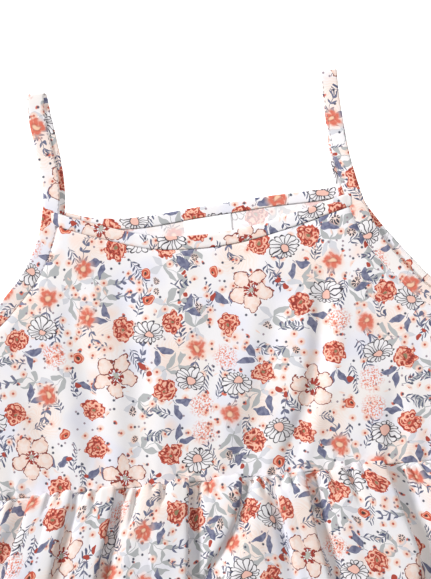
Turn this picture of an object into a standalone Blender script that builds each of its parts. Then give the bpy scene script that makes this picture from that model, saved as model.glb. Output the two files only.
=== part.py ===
"""A small child's sundress, laid flat: a strappy bodice on a gathered skirt.

Pattern tables are in millimetres, with u across the dress and v up from the waist seam.
The model itself is in metres, +Y towards the straps and +Z up from the surface it lies on.
"""

import math
from collections import namedtuple

import bpy
import numpy as np

# Driving sizes, in millimetres
MM = 0.001
CLOTH = 1.1
STRAP_CLOTH = 1.3
SEAM_GAP = 0.3
LAYER_GAP = 0.5
WAIST_HALF = 150.0
CHEST_HALF = 157.0
UNDERARM_SEAM = 98.0
SKIRT_LENGTH = 340.0
HEM_HALF = 235.0
HEM_RISE = 14.0
FLARE_LENGTH = 160.0
STRAP_WIDTH = 10.5
BAND_HEIGHT = 7.0
FRONT_BAND_HEIGHT = 8.0
FRONT_BAND_ENDS = (-89.4, 94.8)
LABEL_WIDTH = 31.0
LABEL_LEFT = -10.0
LABEL_FOOT = 156.4
LABEL_CLOTH = 1.0

# Heights of the wall's underside above the surface, in millimetres
FRONT_FLOOR = 1.8
NECK_LIFT = 1.2
BODICE_PUFF = 2.6
SKIRT_CROWN = 8.6
HEM_CROWN = 3.4
CROWN_FALL = 170.0
SEAM_LEVEL = 0.14
BACK_WAVE = 1.0

# Mesh steps
BODICE_COLUMNS = 54
BODICE_ROWS = 13
SKIRT_COLUMNS = 146
SKIRT_ROWS = 14
BACK_COLUMNS = 44
BACK_ROWS = 7
STRAP_STEP = 6.5
FOLD_STEPS = 6

# Colours, linear
PRINTED_COTTON = (0.86, 0.70, 0.65, 1.0)
PRINTED_WRONG_SIDE = (0.88, 0.79, 0.76, 1.0)
SATIN_WHITE = (0.92, 0.92, 0.93, 1.0)

Point = namedtuple("Point", "u v")
Crease = namedtuple("Crease", "top_u top_v mid_u mid_v foot_u foot_v depth width")
Pleat = namedtuple("Pleat", "at start depth left right reach drift")

# Middle line of each strap and its armhole binding, from the fold at the shoulder down to the underarm
STRAP_LINES = {
    "strap_left": {
        "front": [
            Point(-97.6, 258.0),
            Point(-97.8, 243.0),
            Point(-95.2, 223.0),
            Point(-92.8, 204.0),
            Point(-93.6, 188.0),
            Point(-98.3, 167.5),
            Point(-109.4, 144.8),
            Point(-123.8, 128.0),
            Point(-137.7, 114.5),
            Point(-147.5, 107.3),
            Point(-157.0, 104.0),
        ],
        "back": [
            Point(-95.6, 258.0),
            Point(-93.6, 241.5),
            Point(-91.0, 222.0),
            Point(-89.6, 202.0),
            Point(-90.2, 186.0),
            Point(-96.0, 166.5),
            Point(-108.6, 143.8),
            Point(-123.0, 127.0),
            Point(-137.0, 114.0),
            Point(-147.5, 107.0),
            Point(-157.0, 104.0),
        ],
    },
    "strap_right": {
        "front": [
            Point(92.0, 256.0),
            Point(92.1, 240.0),
            Point(93.2, 224.0),
            Point(94.8, 204.5),
            Point(98.2, 185.0),
            Point(103.6, 164.5),
            Point(110.9, 146.0),
            Point(126.5, 123.6),
            Point(137.9, 110.4),
            Point(147.5, 102.8),
            Point(157.0, 100.0),
        ],
        "back": [
            Point(91.6, 256.0),
            Point(92.2, 240.7),
            Point(92.6, 225.0),
            Point(93.0, 205.7),
            Point(95.2, 186.0),
            Point(104.5, 165.0),
            Point(121.5, 140.0),
            Point(133.5, 124.5),
            Point(141.0, 115.5),
            Point(149.0, 107.8),
            Point(157.0, 104.5),
        ],
    },
}

# Edges of the two necks, left to right
FRONT_NECK = [
    Point(-89.6, 172.2),
    Point(-62.7, 162.0),
    Point(-30.0, 152.4),
    Point(0.0, 150.2),
    Point(31.7, 152.6),
    Point(65.0, 159.8),
    Point(96.0, 168.0),
]
BACK_NECK = [
    Point(-84.0, 181.0),
    Point(-72.3, 177.1),
    Point(-44.1, 173.9),
    Point(1.5, 176.8),
    Point(45.0, 179.6),
    Point(88.5, 181.5),
]

# Long soft creases of the bodice front
BODICE_CREASES = [
    Crease(-65, 153, -54, 121, -52, 3, 1.3, 9),
    Crease(-89, 133, -81, 64, -80, 14, 1.2, 8),
    Crease(-129, 79, -112, 45, -102, 18, 1.1, 8),
    Crease(45, 122, 35, 70, 11, 2, 1.3, 9),
    Crease(77, 134, 70, 78, 44, 8, 1.8, 7),
    Crease(115, 52, 115, 30, 112, 2, 1.2, 6),
]

# Gathers of the skirt: where each valley stands along the waist, how far below the seam it starts, its depth, how
# steeply each side falls, how far it runs, and how far it has bent aside 50 mm down
SKIRT_PLEATS = [
    Pleat(-142, 0, 2.0, 3.2, 3.2, 40, 0),
    Pleat(-133, 0, 1.6, 3.0, 3.2, 24, 0),
    Pleat(-123, 0, 4.2, 7.5, 3.0, 170, -2),
    Pleat(-111, 0, 1.8, 3.0, 3.2, 22, 1),
    Pleat(-96, 0, 2.4, 3.0, 5.0, 120, -3),
    Pleat(-80, 0, 1.8, 3.4, 3.0, 24, -1),
    Pleat(-70, 0, 5.0, 3.0, 5.5, 170, -4),
    Pleat(-55, 0, 1.8, 3.0, 3.4, 30, -1),
    Pleat(-42, 0, 1.8, 3.0, 3.2, 24, 1),
    Pleat(-24, 0, 4.4, 3.0, 5.0, 220, -1),
    Pleat(-9, 0, 1.8, 3.0, 3.2, 24, 0),
    Pleat(11, 0, 3.0, 3.0, 5.0, 210, -18),
    Pleat(32, 0, 2.6, 5.0, 3.0, 90, 1),
    Pleat(42, 0, 1.8, 3.0, 3.0, 20, 0),
    Pleat(49, 0, 5.0, 3.0, 6.0, 280, 1),
    Pleat(68, 0, 1.8, 3.2, 3.2, 26, 1),
    Pleat(78, 0, 1.8, 3.0, 3.4, 34, 1),
    Pleat(88, 0, 1.6, 3.0, 3.0, 20, 0),
    Pleat(101, 0, 7.0, 3.0, 8.0, 330, -1),
    Pleat(119, 0, 1.8, 3.0, 3.2, 28, 1),
    Pleat(132, 0, 3.0, 3.0, 4.0, 150, 2),
    Pleat(142, 0, 1.8, 3.0, 3.2, 40, 0),
    Pleat(-119, 150, 2.6, 9.0, 9.0, 400, 0),
    Pleat(-84, 190, 2.4, 7.0, 9.0, 400, 0),
    Pleat(-49, 120, 2.8, 9.0, 8.0, 400, 0),
    Pleat(-6, 170, 2.6, 7.0, 10.0, 400, 0),
    Pleat(33, 200, 2.4, 8.0, 8.0, 400, 0),
    Pleat(78, 150, 2.8, 7.0, 11.0, 400, 0),
    Pleat(127, 180, 2.4, 8.0, 8.0, 400, 0),
]


def smoothstep(low, high, x):
    """0 below low, 1 above high, and a soft rise between."""
    t = np.clip((np.asarray(x, float) - low) / (high - low), 0.0, 1.0)
    return t * t * (3.0 - 2.0 * t)


def above_zero(height, softness=0.5):
    """The height, eased so that it never falls below zero."""
    return 0.5 * (height + np.sqrt(height * height + softness * softness))


def smooth_line(points, step):
    """A smooth line through the points, sampled about every step millimetres."""
    points = np.array(points, float)
    chord = np.concatenate([[0.0], np.cumsum(np.linalg.norm(np.diff(points, axis=0), axis=1))])
    tangent = np.gradient(points, chord, axis=0)
    at = np.linspace(0.0, chord[-1], 40 * len(points))
    i = np.clip(np.searchsorted(chord, at, side="right") - 1, 0, len(points) - 2)
    span = (chord[i + 1] - chord[i])[:, None]
    t = (at[:, None] - chord[i][:, None]) / span
    line = (
        (2 * t**3 - 3 * t**2 + 1) * points[i]
        + (t**3 - 2 * t**2 + t) * span * tangent[i]
        + (3 * t**2 - 2 * t**3) * points[i + 1]
        + (t**3 - t**2) * span * tangent[i + 1]
    )
    return evenly_spaced(line, max(2, round(chord[-1] / step)) + 1)


def evenly_spaced(line, count):
    """The same line with count points at equal distances."""
    run = np.concatenate([[0.0], np.cumsum(np.linalg.norm(np.diff(line, axis=0), axis=1))])
    at = np.linspace(0.0, run[-1], count)
    return np.column_stack([np.interp(at, run, line[:, k]) for k in range(line.shape[1])])


def sideways(line):
    """The unit direction to the right of travel at each point of a flat line."""
    along = np.gradient(line[:, :2], axis=0)
    along /= np.linalg.norm(along, axis=1)[:, None]
    return np.column_stack([along[:, 1], -along[:, 0]])


def armhole_seam(name, layer, neck_corner):
    """The line that a panel is cut to beside a binding, from the neck down to the underarm."""
    line = smooth_line(STRAP_LINES[name][layer], 2.0)
    inward = 1.0 if name == "strap_left" else -1.0
    # The line runs down, so its right side is -u: the panel of the left strap is on its left.
    seam = line - inward * sideways(line) * (STRAP_WIDTH / 2 + SEAM_GAP)
    return seam[seam[:, 1] < neck_corner]


def top_edge(layer, neck):
    """The upper edge of a bodice panel from underarm to underarm: armhole, neck, armhole."""
    left = armhole_seam("strap_left", layer, neck[0].v)[::-1]
    right = armhole_seam("strap_right", layer, neck[-1].v)
    middle = smooth_line(neck, 2.0)
    return np.vstack([left[left[:, 0] < neck[0].u - 0.5], middle, right[right[:, 0] > neck[-1].u + 0.5]])


def side_half(v):
    """Half the width of the bodice at a height above the waist."""
    return WAIST_HALF + (CHEST_HALF - WAIST_HALF) * np.clip(v / UNDERARM_SEAM, 0.0, 1.0)


def bodice_grid(edge, columns, rows):
    """Flat grid points of a bodice panel, its columns spread evenly along the upper edge."""
    top = evenly_spaced(edge, columns + 1)
    share = np.concatenate([[0.0, 0.015], np.linspace(0.015, 1.0, rows)[1:]])
    v = SEAM_GAP + (top[:, 1][None, :] - SEAM_GAP) * share[:, None]
    u = top[:, 0][None, :] / CHEST_HALF * side_half(v)
    return u, v


def crease_depth(u, v):
    """How far the long creases of the bodice sink the cloth at each point."""
    depth = np.zeros_like(u)
    for crease in BODICE_CREASES:
        line = smooth_line(
            [(crease.top_u, crease.top_v), (crease.mid_u, crease.mid_v), (crease.foot_u, crease.foot_v)],
            4.0,
        )[::-1]
        middle = np.interp(v, line[:, 1], line[:, 0])
        across = (u - middle) / crease.width
        fade = smoothstep(crease.foot_v - 12, crease.foot_v + 12, v)
        fade = fade * (1.0 - smoothstep(crease.top_v - 30, crease.top_v + 6, v))
        beside = 0.4 * (np.exp(-((across - 1.7) ** 2)) + np.exp(-((across + 1.7) ** 2)))
        depth += crease.depth * fade * (np.exp(-(across**2)) - beside)
    return depth


def front_height(u, v):
    """Height of the bodice front's underside above the surface."""
    body = 1.0 - np.abs(u / CHEST_HALF) ** 3
    rise = smoothstep(0.0, 55.0, v) * (1.0 - 0.45 * smoothstep(110.0, 160.0, v))
    puff = BODICE_PUFF * body * (0.25 + 0.75 * rise)
    lift = NECK_LIFT * smoothstep(110.0, 165.0, v)
    return FRONT_FLOOR + lift + above_zero(puff - crease_depth(u, v))


def skirt_half(down):
    """Half the width of the skirt at a distance below the waist."""
    share = (1.0 - np.exp(-down / FLARE_LENGTH)) / (1.0 - math.exp(-SKIRT_LENGTH / FLARE_LENGTH))
    return WAIST_HALF + (HEM_HALF - WAIST_HALF) * share


def skirt_fall(across, down):
    """Height of a skirt point along the dress: below the waist, and less at the sides, where the hem curves up."""
    return -down + HEM_RISE * across**2 * (down / SKIRT_LENGTH) ** 2


def skirt_grid(columns, rows):
    """Share of the half width across, and distance below the waist, of the skirt's grid points."""
    share = np.linspace(0.0, 1.0, rows) ** 1.7
    down = np.concatenate([[0.0, 0.8], 0.8 + (SKIRT_LENGTH - 0.8) * share[1:]])
    return np.meshgrid(np.linspace(-1.0, 1.0, columns + 1), down)


def edge_fade(across):
    """1 over the panel, falling to 0 at the side seams where the layers meet."""
    return 1.0 - np.abs(across) ** 10


def back_wave(across, down):
    """Height of the skirt back's underside: slight waves, flat on the surface between them."""
    swell = np.sin(across * 17.0 + 0.6) + 0.5 * np.sin(across * 29.0 + 1.9)
    return BACK_WAVE * edge_fade(across) * smoothstep(0.0, 30.0, down) * np.maximum(swell - 0.35, 0.0)


def pleat_depth(across, down):
    """How far the gathers' valleys sink the skirt's cloth: most drop steeply on one side and rise slowly on the other."""
    at_waist = across * WAIST_HALF
    depth = np.zeros_like(across)
    for pleat in SKIRT_PLEATS:
        off = at_waist - pleat.at - pleat.drift * np.minimum(down / 50.0, 1.3) ** 1.5
        spread = 1.0 + down / 300.0
        begins = smoothstep(pleat.start - 1.0, pleat.start + 7.0 + 0.4 * pleat.start, down)
        ends = 1.0 - smoothstep(0.35 * pleat.reach, pleat.reach, down)
        near = np.exp(-(np.abs(off / (pleat.right * spread)) ** 1.5))
        wide = np.exp(-np.abs(off) / (3.2 * pleat.right * spread))
        valley = np.where(off < 0.0, np.exp(-((off / (pleat.left * spread)) ** 2)), 0.5 * near + 0.5 * wide)
        depth += 1.5 * pleat.depth * valley * begins * ends
    return depth


def skirt_height(across, down):
    """Height of the skirt front's underside above the surface."""
    crown = SKIRT_CROWN + (HEM_CROWN - SKIRT_CROWN) * smoothstep(-10.0, CROWN_FALL, down)
    crown = crown * (SEAM_LEVEL + (1.0 - SEAM_LEVEL) * smoothstep(0.8, 8.0, down))
    fold = above_zero((crown - pleat_depth(across, down)) * edge_fade(across))
    return back_wave(across, down) + CLOTH + LAYER_GAP + fold


def material(name, colour, roughness):
    """A plain Principled material."""
    made = bpy.data.materials.new(name)
    made.use_nodes = True
    shader = made.node_tree.nodes["Principled BSDF"]
    shader.inputs["Base Color"].default_value = colour
    shader.inputs["Roughness"].default_value = roughness
    shader.inputs["Metallic"].default_value = 0.0
    made.diffuse_color = colour
    return made


def wall(name, points, thickness, side, made_of, collection):
    """One closed wall of cloth: a grid of points in millimetres, thickened upwards (side 1) or to both sides (0)."""
    rows, columns = points.shape[:2]
    index = np.arange(rows * columns).reshape(rows, columns)
    faces = np.stack([index[:-1, :-1], index[:-1, 1:], index[1:, 1:], index[1:, :-1]], axis=-1).reshape(-1, 4)
    mesh = bpy.data.meshes.new(name)
    mesh.from_pydata((points.reshape(-1, 3) * MM).tolist(), [], faces.tolist())
    mesh.validate()
    mesh.shade_smooth()
    piece = bpy.data.objects.new(name, mesh)
    collection.objects.link(piece)
    piece.data.materials.append(made_of)
    solid = piece.modifiers.new("cloth", "SOLIDIFY")
    solid.thickness = thickness * MM
    solid.offset = side
    solid.use_even_offset = False
    return piece


def laid(u, v, z):
    """Grid points from three arrays, with a plain number allowed for the height."""
    return np.stack([u, v, np.broadcast_to(z, u.shape)], axis=-1)


def bodice_front(cotton, dress):
    u, v = bodice_grid(top_edge("front", FRONT_NECK), BODICE_COLUMNS, BODICE_ROWS)
    return wall("bodice_front", laid(u, v, front_height(u, v)), CLOTH, 1.0, cotton, dress)


def bodice_back(cotton, dress):
    u, v = bodice_grid(top_edge("back", BACK_NECK), BODICE_COLUMNS, 3)
    return wall("bodice_back", laid(u, v, 0.0), CLOTH, 1.0, cotton, dress)


def skirt_front(cotton, dress):
    across, down = skirt_grid(SKIRT_COLUMNS, SKIRT_ROWS)
    height = skirt_height(across, down)
    # The first two rows are level, so the wall's top edge stays square to the waist seam.
    height[0] = height[1]
    points = laid(across * skirt_half(down), skirt_fall(across, down), height)[::-1]
    return wall("skirt_front", points, CLOTH, 1.0, cotton, dress)


def skirt_back(cotton, dress):
    across, down = skirt_grid(BACK_COLUMNS, BACK_ROWS)
    points = laid(across * skirt_half(down), skirt_fall(across, down), back_wave(across, down))[::-1]
    return wall("skirt_back", points, CLOTH, 1.0, cotton, dress)


def strap_height(v):
    """Height of the middle of a strap's front layer: over the back layer, and a little higher at the neck."""
    rise = smoothstep(110.0, 160.0, v) * (1.0 - smoothstep(180.0, 225.0, v))
    return STRAP_CLOTH * 1.5 + LAYER_GAP + NECK_LIFT * rise


def strap(name, cotton, dress):
    """One strip: front binding and strap, the fold at the shoulder, back strap and binding."""
    front = smooth_line(STRAP_LINES[name]["front"], STRAP_STEP)[::-1]
    back = smooth_line(STRAP_LINES[name]["back"], STRAP_STEP)
    radius = (STRAP_CLOTH + LAYER_GAP) / 2
    turn = np.linspace(0.0, math.pi, FOLD_STEPS + 1)[1:-1]
    share = (1.0 - np.cos(turn)) / 2
    fold = front[-1] + (back[0] - front[-1]) * share[:, None]
    fold[:, 1] += radius * np.sin(turn)
    height = np.concatenate(
        [strap_height(front[:, 1]), STRAP_CLOTH / 2 + radius * (1.0 + np.cos(turn)), np.full(len(back), STRAP_CLOTH / 2)]
    )
    across = np.vstack([sideways(front), np.tile(sideways(front)[-1], (len(fold), 1)), -sideways(back)])
    # Both ends are cut along the side seam.
    across[[0, -1]] = np.sign(across[[0, -1], 1:]) * (0.0, 1.0)
    line = np.vstack([front, fold, back])
    rows = []
    for edge in (-0.5, 0.0, 0.5):
        flat = line + across * STRAP_WIDTH * edge
        rows.append(np.column_stack([flat, height]))
    return wall(name, np.stack(rows, axis=0), STRAP_CLOTH, 0.0, cotton, dress)


def neck_band_front(cotton, dress):
    """The strip that binds the front neck, from binding to binding above its seam."""
    seam = smooth_line(FRONT_NECK, 4.0)
    u = np.linspace(*FRONT_BAND_ENDS, len(seam))
    share = np.linspace(0.0, 1.0, 3)[:, None]
    v = np.interp(u, seam[:, 0], seam[:, 1]) + SEAM_GAP + FRONT_BAND_HEIGHT * share
    u = np.broadcast_to(u, v.shape)
    return wall("neck_band_front", laid(u, v, front_height(u, v)), CLOTH, 1.0, cotton, dress)


def band_seam(u):
    """Lower edge of the back neck band."""
    neck = smooth_line(BACK_NECK, 2.0)
    return np.interp(u, neck[:, 0], neck[:, 1]) - BAND_HEIGHT


def neck_band_back(cotton, dress):
    """The facing strip along the inside of the back neck."""
    top = smooth_line(BACK_NECK, 4.0)
    share = np.linspace(0.0, 1.0, 3)[:, None]
    u = np.broadcast_to(top[:, 0], (3, len(top)))
    v = top[:, 1] - BAND_HEIGHT * (1.0 - share)
    return wall("neck_band_back", laid(u, v, CLOTH + SEAM_GAP), CLOTH, 1.0, cotton, dress)


def label(satin, dress):
    """The bare label, hanging from the band's seam."""
    u = np.linspace(LABEL_LEFT, LABEL_LEFT + LABEL_WIDTH, 9)
    top = band_seam(u) - SEAM_GAP
    share = np.linspace(0.0, 1.0, 4)[:, None]
    v = LABEL_FOOT + (top - LABEL_FOOT) * share
    return wall("label", laid(np.broadcast_to(u, v.shape), v, CLOTH + SEAM_GAP), LABEL_CLOTH, 1.0, satin, dress)


def centre(pieces):
    """Moves the pieces so that the origin is under the middle of the whole dress."""
    bpy.context.view_layer.update()
    graph = bpy.context.evaluated_depsgraph_get()
    corners = []
    for piece in pieces:
        mesh = piece.evaluated_get(graph).to_mesh()
        points = np.empty(len(mesh.vertices) * 3, np.float32)
        mesh.vertices.foreach_get("co", points)
        corners += [points.reshape(-1, 3).min(axis=0), points.reshape(-1, 3).max(axis=0)]
    low = np.min(corners, axis=0)
    high = np.max(corners, axis=0)
    for piece in pieces:
        piece.location = (-(low[0] + high[0]) / 2, -(low[1] + high[1]) / 2, -low[2])


def main():
    for old in list(bpy.data.objects):
        bpy.data.objects.remove(old, do_unlink=True)
    dress = bpy.data.collections.new("sundress")
    bpy.context.scene.collection.children.link(dress)
    cotton = material("printed_cotton", PRINTED_COTTON, 0.85)
    inside = material("printed_cotton_wrong_side", PRINTED_WRONG_SIDE, 0.88)
    satin = material("satin_label", SATIN_WHITE, 0.45)
    pieces = [
        bodice_front(cotton, dress),
        bodice_back(cotton, dress),
        skirt_front(cotton, dress),
        skirt_back(cotton, dress),
        strap("strap_left", cotton, dress),
        strap("strap_right", cotton, dress),
        neck_band_front(cotton, dress),
        neck_band_back(inside, dress),
        label(satin, dress),
    ]
    centre(pieces)


main()
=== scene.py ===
"""Looks of a small child's sundress, laid flat: thin printed cloth, its folds, bindings, label and sewing.

Dress measures are in millimetres, u across and v up from the waist seam. cloth() and stitches() turn them
to the frame's metres, and flower_print() turns the cloth's metres back to millimetres.
"""

import math
from collections import namedtuple

import bmesh
import bpy
import numpy as np
from mathutils import Matrix, Vector


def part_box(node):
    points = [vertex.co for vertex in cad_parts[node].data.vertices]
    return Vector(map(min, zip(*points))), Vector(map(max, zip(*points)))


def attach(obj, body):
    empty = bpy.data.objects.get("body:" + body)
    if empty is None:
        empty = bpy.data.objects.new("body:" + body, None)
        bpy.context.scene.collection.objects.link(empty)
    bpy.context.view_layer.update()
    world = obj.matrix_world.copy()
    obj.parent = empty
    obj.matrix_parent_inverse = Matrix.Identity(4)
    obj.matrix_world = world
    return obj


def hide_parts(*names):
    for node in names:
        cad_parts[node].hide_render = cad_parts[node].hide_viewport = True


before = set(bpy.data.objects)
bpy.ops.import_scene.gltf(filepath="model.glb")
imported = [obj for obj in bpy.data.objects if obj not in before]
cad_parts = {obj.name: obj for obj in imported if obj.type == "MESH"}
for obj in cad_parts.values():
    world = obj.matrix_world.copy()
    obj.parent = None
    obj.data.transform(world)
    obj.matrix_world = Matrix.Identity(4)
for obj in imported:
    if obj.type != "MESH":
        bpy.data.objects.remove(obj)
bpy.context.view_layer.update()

# Sizes shared with the solids, in millimetres
MM = 0.001
CLOTH = 1.1
STRAP_CLOTH = 1.3
SEAM_GAP = 0.3
LAYER_GAP = 0.5
WAIST_HALF = 150.0
CHEST_HALF = 157.0
UNDERARM_SEAM = 98.0
SKIRT_LENGTH = 340.0
HEM_HALF = 235.0
HEM_RISE = 14.0
FLARE_LENGTH = 160.0
STRAP_WIDTH = 10.5
BAND_HEIGHT = 7.0
FRONT_BAND_HEIGHT = 8.0
LABEL_WIDTH = 31.0
LABEL_LEFT = -10.0
LABEL_FOOT = 156.4
FRONT_FLOOR = 1.8
NECK_LIFT = 1.2
BODICE_PUFF = 2.6
SKIRT_CROWN = 8.6
HEM_CROWN = 3.4
CROWN_FALL = 170.0
BACK_WAVE = 1.0

# The waist seam's middle in the frame, in metres
WAIST_X = (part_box("skirt_back")[0].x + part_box("skirt_back")[1].x) / 2
WAIST_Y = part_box("skirt_front")[1].y

# Cloth and sewing as they are seen, in millimetres
SHEET = 0.55
SHEET_RISE = 0.45
STRAP_SHEET = 0.8
RIBBON = 0.25
TUCKED = 1.5
HEM_DEPTH = 15.0
STITCH = 2.2
STITCH_GAP = 0.9
THREAD = 0.5
SEWING_INSET = 0.42 * STRAP_WIDTH

# Cells of the meshes across and down, and how far apart the points of a line are, in millimetres
BODICE_COLUMNS, BODICE_ROWS = 300, 130
BODICE_BACK_COLUMNS, BODICE_BACK_ROWS = 200, 60
SKIRT_COLUMNS, SKIRT_SEAM_ROWS, SKIRT_ROWS = 390, 18, 93
SKIRT_BACK_COLUMNS, SKIRT_BACK_ROWS = 220, 70
SEAM_STEP = 2.0
STRAP_STEP = 1.6
BAND_STEP = 1.2

Point = namedtuple("Point", "u v")
Crease = namedtuple("Crease", "top_u top_v mid_u mid_v foot_u foot_v depth width")
Pleat = namedtuple("Pleat", "at start depth left right reach drift")

# Middle line of each strap and its armhole binding, from the fold at the shoulder down to the underarm
STRAP_LINES = {
    "strap_left": {
        "front": [
            Point(-97.6, 258.0), Point(-97.8, 243.0), Point(-95.2, 223.0), Point(-92.8, 204.0),
            Point(-93.6, 188.0), Point(-98.3, 167.5), Point(-109.4, 144.8), Point(-123.8, 128.0),
            Point(-137.7, 114.5), Point(-147.5, 107.3), Point(-157.0, 104.0),
        ],
        "back": [
            Point(-95.6, 258.0), Point(-93.6, 241.5), Point(-91.0, 222.0), Point(-89.6, 202.0),
            Point(-90.2, 186.0), Point(-96.0, 166.5), Point(-108.6, 143.8), Point(-123.0, 127.0),
            Point(-137.0, 114.0), Point(-147.5, 107.0), Point(-157.0, 104.0),
        ],
    },
    "strap_right": {
        "front": [
            Point(92.0, 256.0), Point(92.1, 240.0), Point(93.2, 224.0), Point(94.8, 204.5),
            Point(98.2, 185.0), Point(103.6, 164.5), Point(110.9, 146.0), Point(126.5, 123.6),
            Point(137.9, 110.4), Point(147.5, 102.8), Point(157.0, 100.0),
        ],
        "back": [
            Point(91.6, 256.0), Point(92.2, 240.7), Point(92.6, 225.0), Point(93.0, 205.7),
            Point(95.2, 186.0), Point(104.5, 165.0), Point(121.5, 140.0), Point(133.5, 124.5),
            Point(141.0, 115.5), Point(149.0, 107.8), Point(157.0, 104.5),
        ],
    },
}
INWARD = {"strap_left": 1.0, "strap_right": -1.0}

# Neck seams, from the left binding to the right
FRONT_NECK = [
    Point(-89.6, 172.2), Point(-62.7, 162.0), Point(-30.0, 152.4), Point(0.0, 150.2),
    Point(31.7, 152.6), Point(65.0, 159.8), Point(96.0, 168.0),
]
BACK_NECK = [
    Point(-84.0, 181.0), Point(-72.3, 177.1), Point(-44.1, 173.9), Point(1.5, 176.8),
    Point(45.0, 179.6), Point(88.5, 181.5),
]

# The neck bands' lines, which run on under the bindings
FRONT_BAND_LINE = [Point(-94.5, 174.3), *FRONT_NECK, Point(99.0, 168.8)]
BACK_BAND_LINE = [Point(-92.0, 183.5), *BACK_NECK, Point(97.0, 182.5)]

# Long creases of the bodice, each by the top, middle and foot of its line
BODICE_CREASES = [
    Crease(-65, 153, -54, 121, -52, 3, 1.6, 9),
    Crease(-89, 133, -81, 64, -80, 14, 1.5, 8),
    Crease(-129, 79, -112, 45, -102, 18, 1.4, 8),
    Crease(45, 122, 35, 70, 11, 2, 1.6, 9),
    Crease(77, 134, 70, 78, 44, 8, 2.3, 6),
    Crease(115, 52, 115, 30, 112, 2, 1.6, 6),
]

# Gathers of the skirt: where each valley stands along the waist, how far below the seam it starts, its depth,
# how wide each side is, how far it runs, and how far it has bent aside 50 mm down. The last seven are soft.
SKIRT_PLEATS = [
    Pleat(-142, 0, 2.0, 2.6, 2.6, 40, 0),
    Pleat(-133, 0, 1.6, 2.2, 2.8, 22, 0),
    Pleat(-123, 0, 4.2, 7.5, 1.6, 170, -2),
    Pleat(-117, 0, 1.0, 1.4, 1.8, 12, 0),
    Pleat(-111, 0, 1.4, 1.3, 2.4, 20, 1),
    Pleat(-104, 0, 1.2, 1.6, 1.8, 14, 0),
    Pleat(-96, 0, 2.4, 1.8, 6.0, 120, -3),
    Pleat(-88, 0, 1.2, 1.4, 2.0, 14, 0),
    Pleat(-80, 0, 1.6, 2.2, 1.5, 24, -1),
    Pleat(-70, 0, 5.0, 1.4, 7.5, 170, -4),
    Pleat(-63, 0, 1.6, 1.4, 1.6, 12, 2),
    Pleat(-56, 0, 2.2, 1.3, 2.6, 34, -4),
    Pleat(-45, 0, 1.2, 1.4, 1.4, 10, 2),
    Pleat(-39, 0, 2.0, 1.3, 2.4, 22, 3),
    Pleat(-24, 0, 4.4, 1.3, 7.5, 220, -1),
    Pleat(-16, 0, 1.4, 1.6, 2.2, 26, 0),
    Pleat(-9, 0, 1.4, 1.6, 2.0, 18, 0),
    Pleat(11, 0, 3.0, 1.8, 6.5, 210, -18),
    Pleat(18, 0, 1.2, 1.4, 1.6, 14, 0),
    Pleat(25, 0, 1.6, 2.4, 1.6, 22, 0),
    Pleat(32, 0, 2.6, 5.0, 1.5, 90, 1),
    Pleat(37, 0, 1.4, 1.4, 1.6, 16, 0),
    Pleat(42, 0, 1.6, 1.3, 1.8, 18, 0),
    Pleat(49, 0, 5.0, 1.4, 9.0, 280, 1),
    Pleat(58, 0, 1.2, 1.6, 2.0, 16, 0),
    Pleat(68, 0, 1.6, 2.2, 2.2, 26, 1),
    Pleat(78, 0, 1.8, 2.0, 2.6, 34, 1),
    Pleat(88, 0, 1.2, 1.8, 2.0, 18, 0),
    Pleat(101, 0, 6.0, 1.6, 12.0, 330, -1),
    Pleat(112, 0, 1.4, 2.0, 1.8, 30, 2),
    Pleat(119, 0, 1.6, 1.5, 2.4, 26, 1),
    Pleat(126, 0, 1.4, 1.6, 2.0, 20, 1),
    Pleat(132, 0, 3.0, 1.8, 5.5, 150, 2),
    Pleat(141, 0, 1.8, 2.0, 2.4, 40, 0),
    Pleat(-119, 130, 2.4, 6.0, 9.0, 800, 0),
    Pleat(-84, 160, 2.0, 5.0, 7.0, 800, 0),
    Pleat(-49, 110, 2.6, 6.0, 8.0, 800, 0),
    Pleat(-6, 150, 2.2, 5.0, 8.0, 800, 0),
    Pleat(33, 170, 2.0, 6.0, 6.0, 800, 0),
    Pleat(78, 130, 2.6, 5.0, 9.0, 800, 0),
    Pleat(127, 150, 2.2, 6.0, 7.0, 800, 0),
]

# The cloth sinks into a valley by its depth times this; the solids, with a coarser mesh, use 1.5
FOLD_DEPTH = 1.75

# Where on the printed cloth a piece was cut, if not at its own place, so that no two show the same flowers
CUT_FROM = {
    "bodice_back_cloth": (400.0, 310.0),
    "skirt_back_cloth": (37.0, 500.0),
    "neck_band_front_cloth": (126.0, 40.0),
    "neck_band_back_cloth": (210.0, 77.0),
    "strap_left_cloth": (17.0, 0.0),
    "strap_right_cloth": (17.0, 131.0),
}

# What each piece was cut to, its finished size in metres, how it is held and what it lies on. A side is at
# least 10 mm here, so the two neck bands, 8.3 and 7 mm high, give their true area in square metres.
Cut = namedtuple("Cut", "width length area held rests_on")
CUTS = {
    "bodice_front": Cut(0.314, 0.172, 0.0443, "laid", "bodice_back"),
    "bodice_back": Cut(0.314, 0.182, 0.0462, "laid", None),
    "skirt_front": Cut(0.48, 0.34, None, "gathered", "skirt_back"),
    "skirt_back": Cut(0.48, 0.34, None, "gathered", None),
    "neck_band_back": Cut(0.176, 0.01, 0.00124, "laid", "bodice_back"),
    "neck_band_front": Cut(0.196, 0.01, 0.0017, "laid", "bodice_back"),
    "label": Cut(0.031, 0.014, None, "laid", "bodice_back"),
    "strap_left": Cut(0.011, 0.352, None, "folded", "bodice_back"),
    "strap_right": Cut(0.011, 0.352, None, "folded", "bodice_back"),
}


def smoothstep(low, high, x):
    """0 below low, 1 above high, and a soft rise between."""
    t = np.clip((np.asarray(x, float) - low) / (high - low), 0.0, 1.0)
    return t * t * (3.0 - 2.0 * t)


def above_zero(height, softness=0.5):
    """The height, eased so that it never falls below zero."""
    return 0.5 * (height + np.sqrt(height * height + softness * softness))


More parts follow.
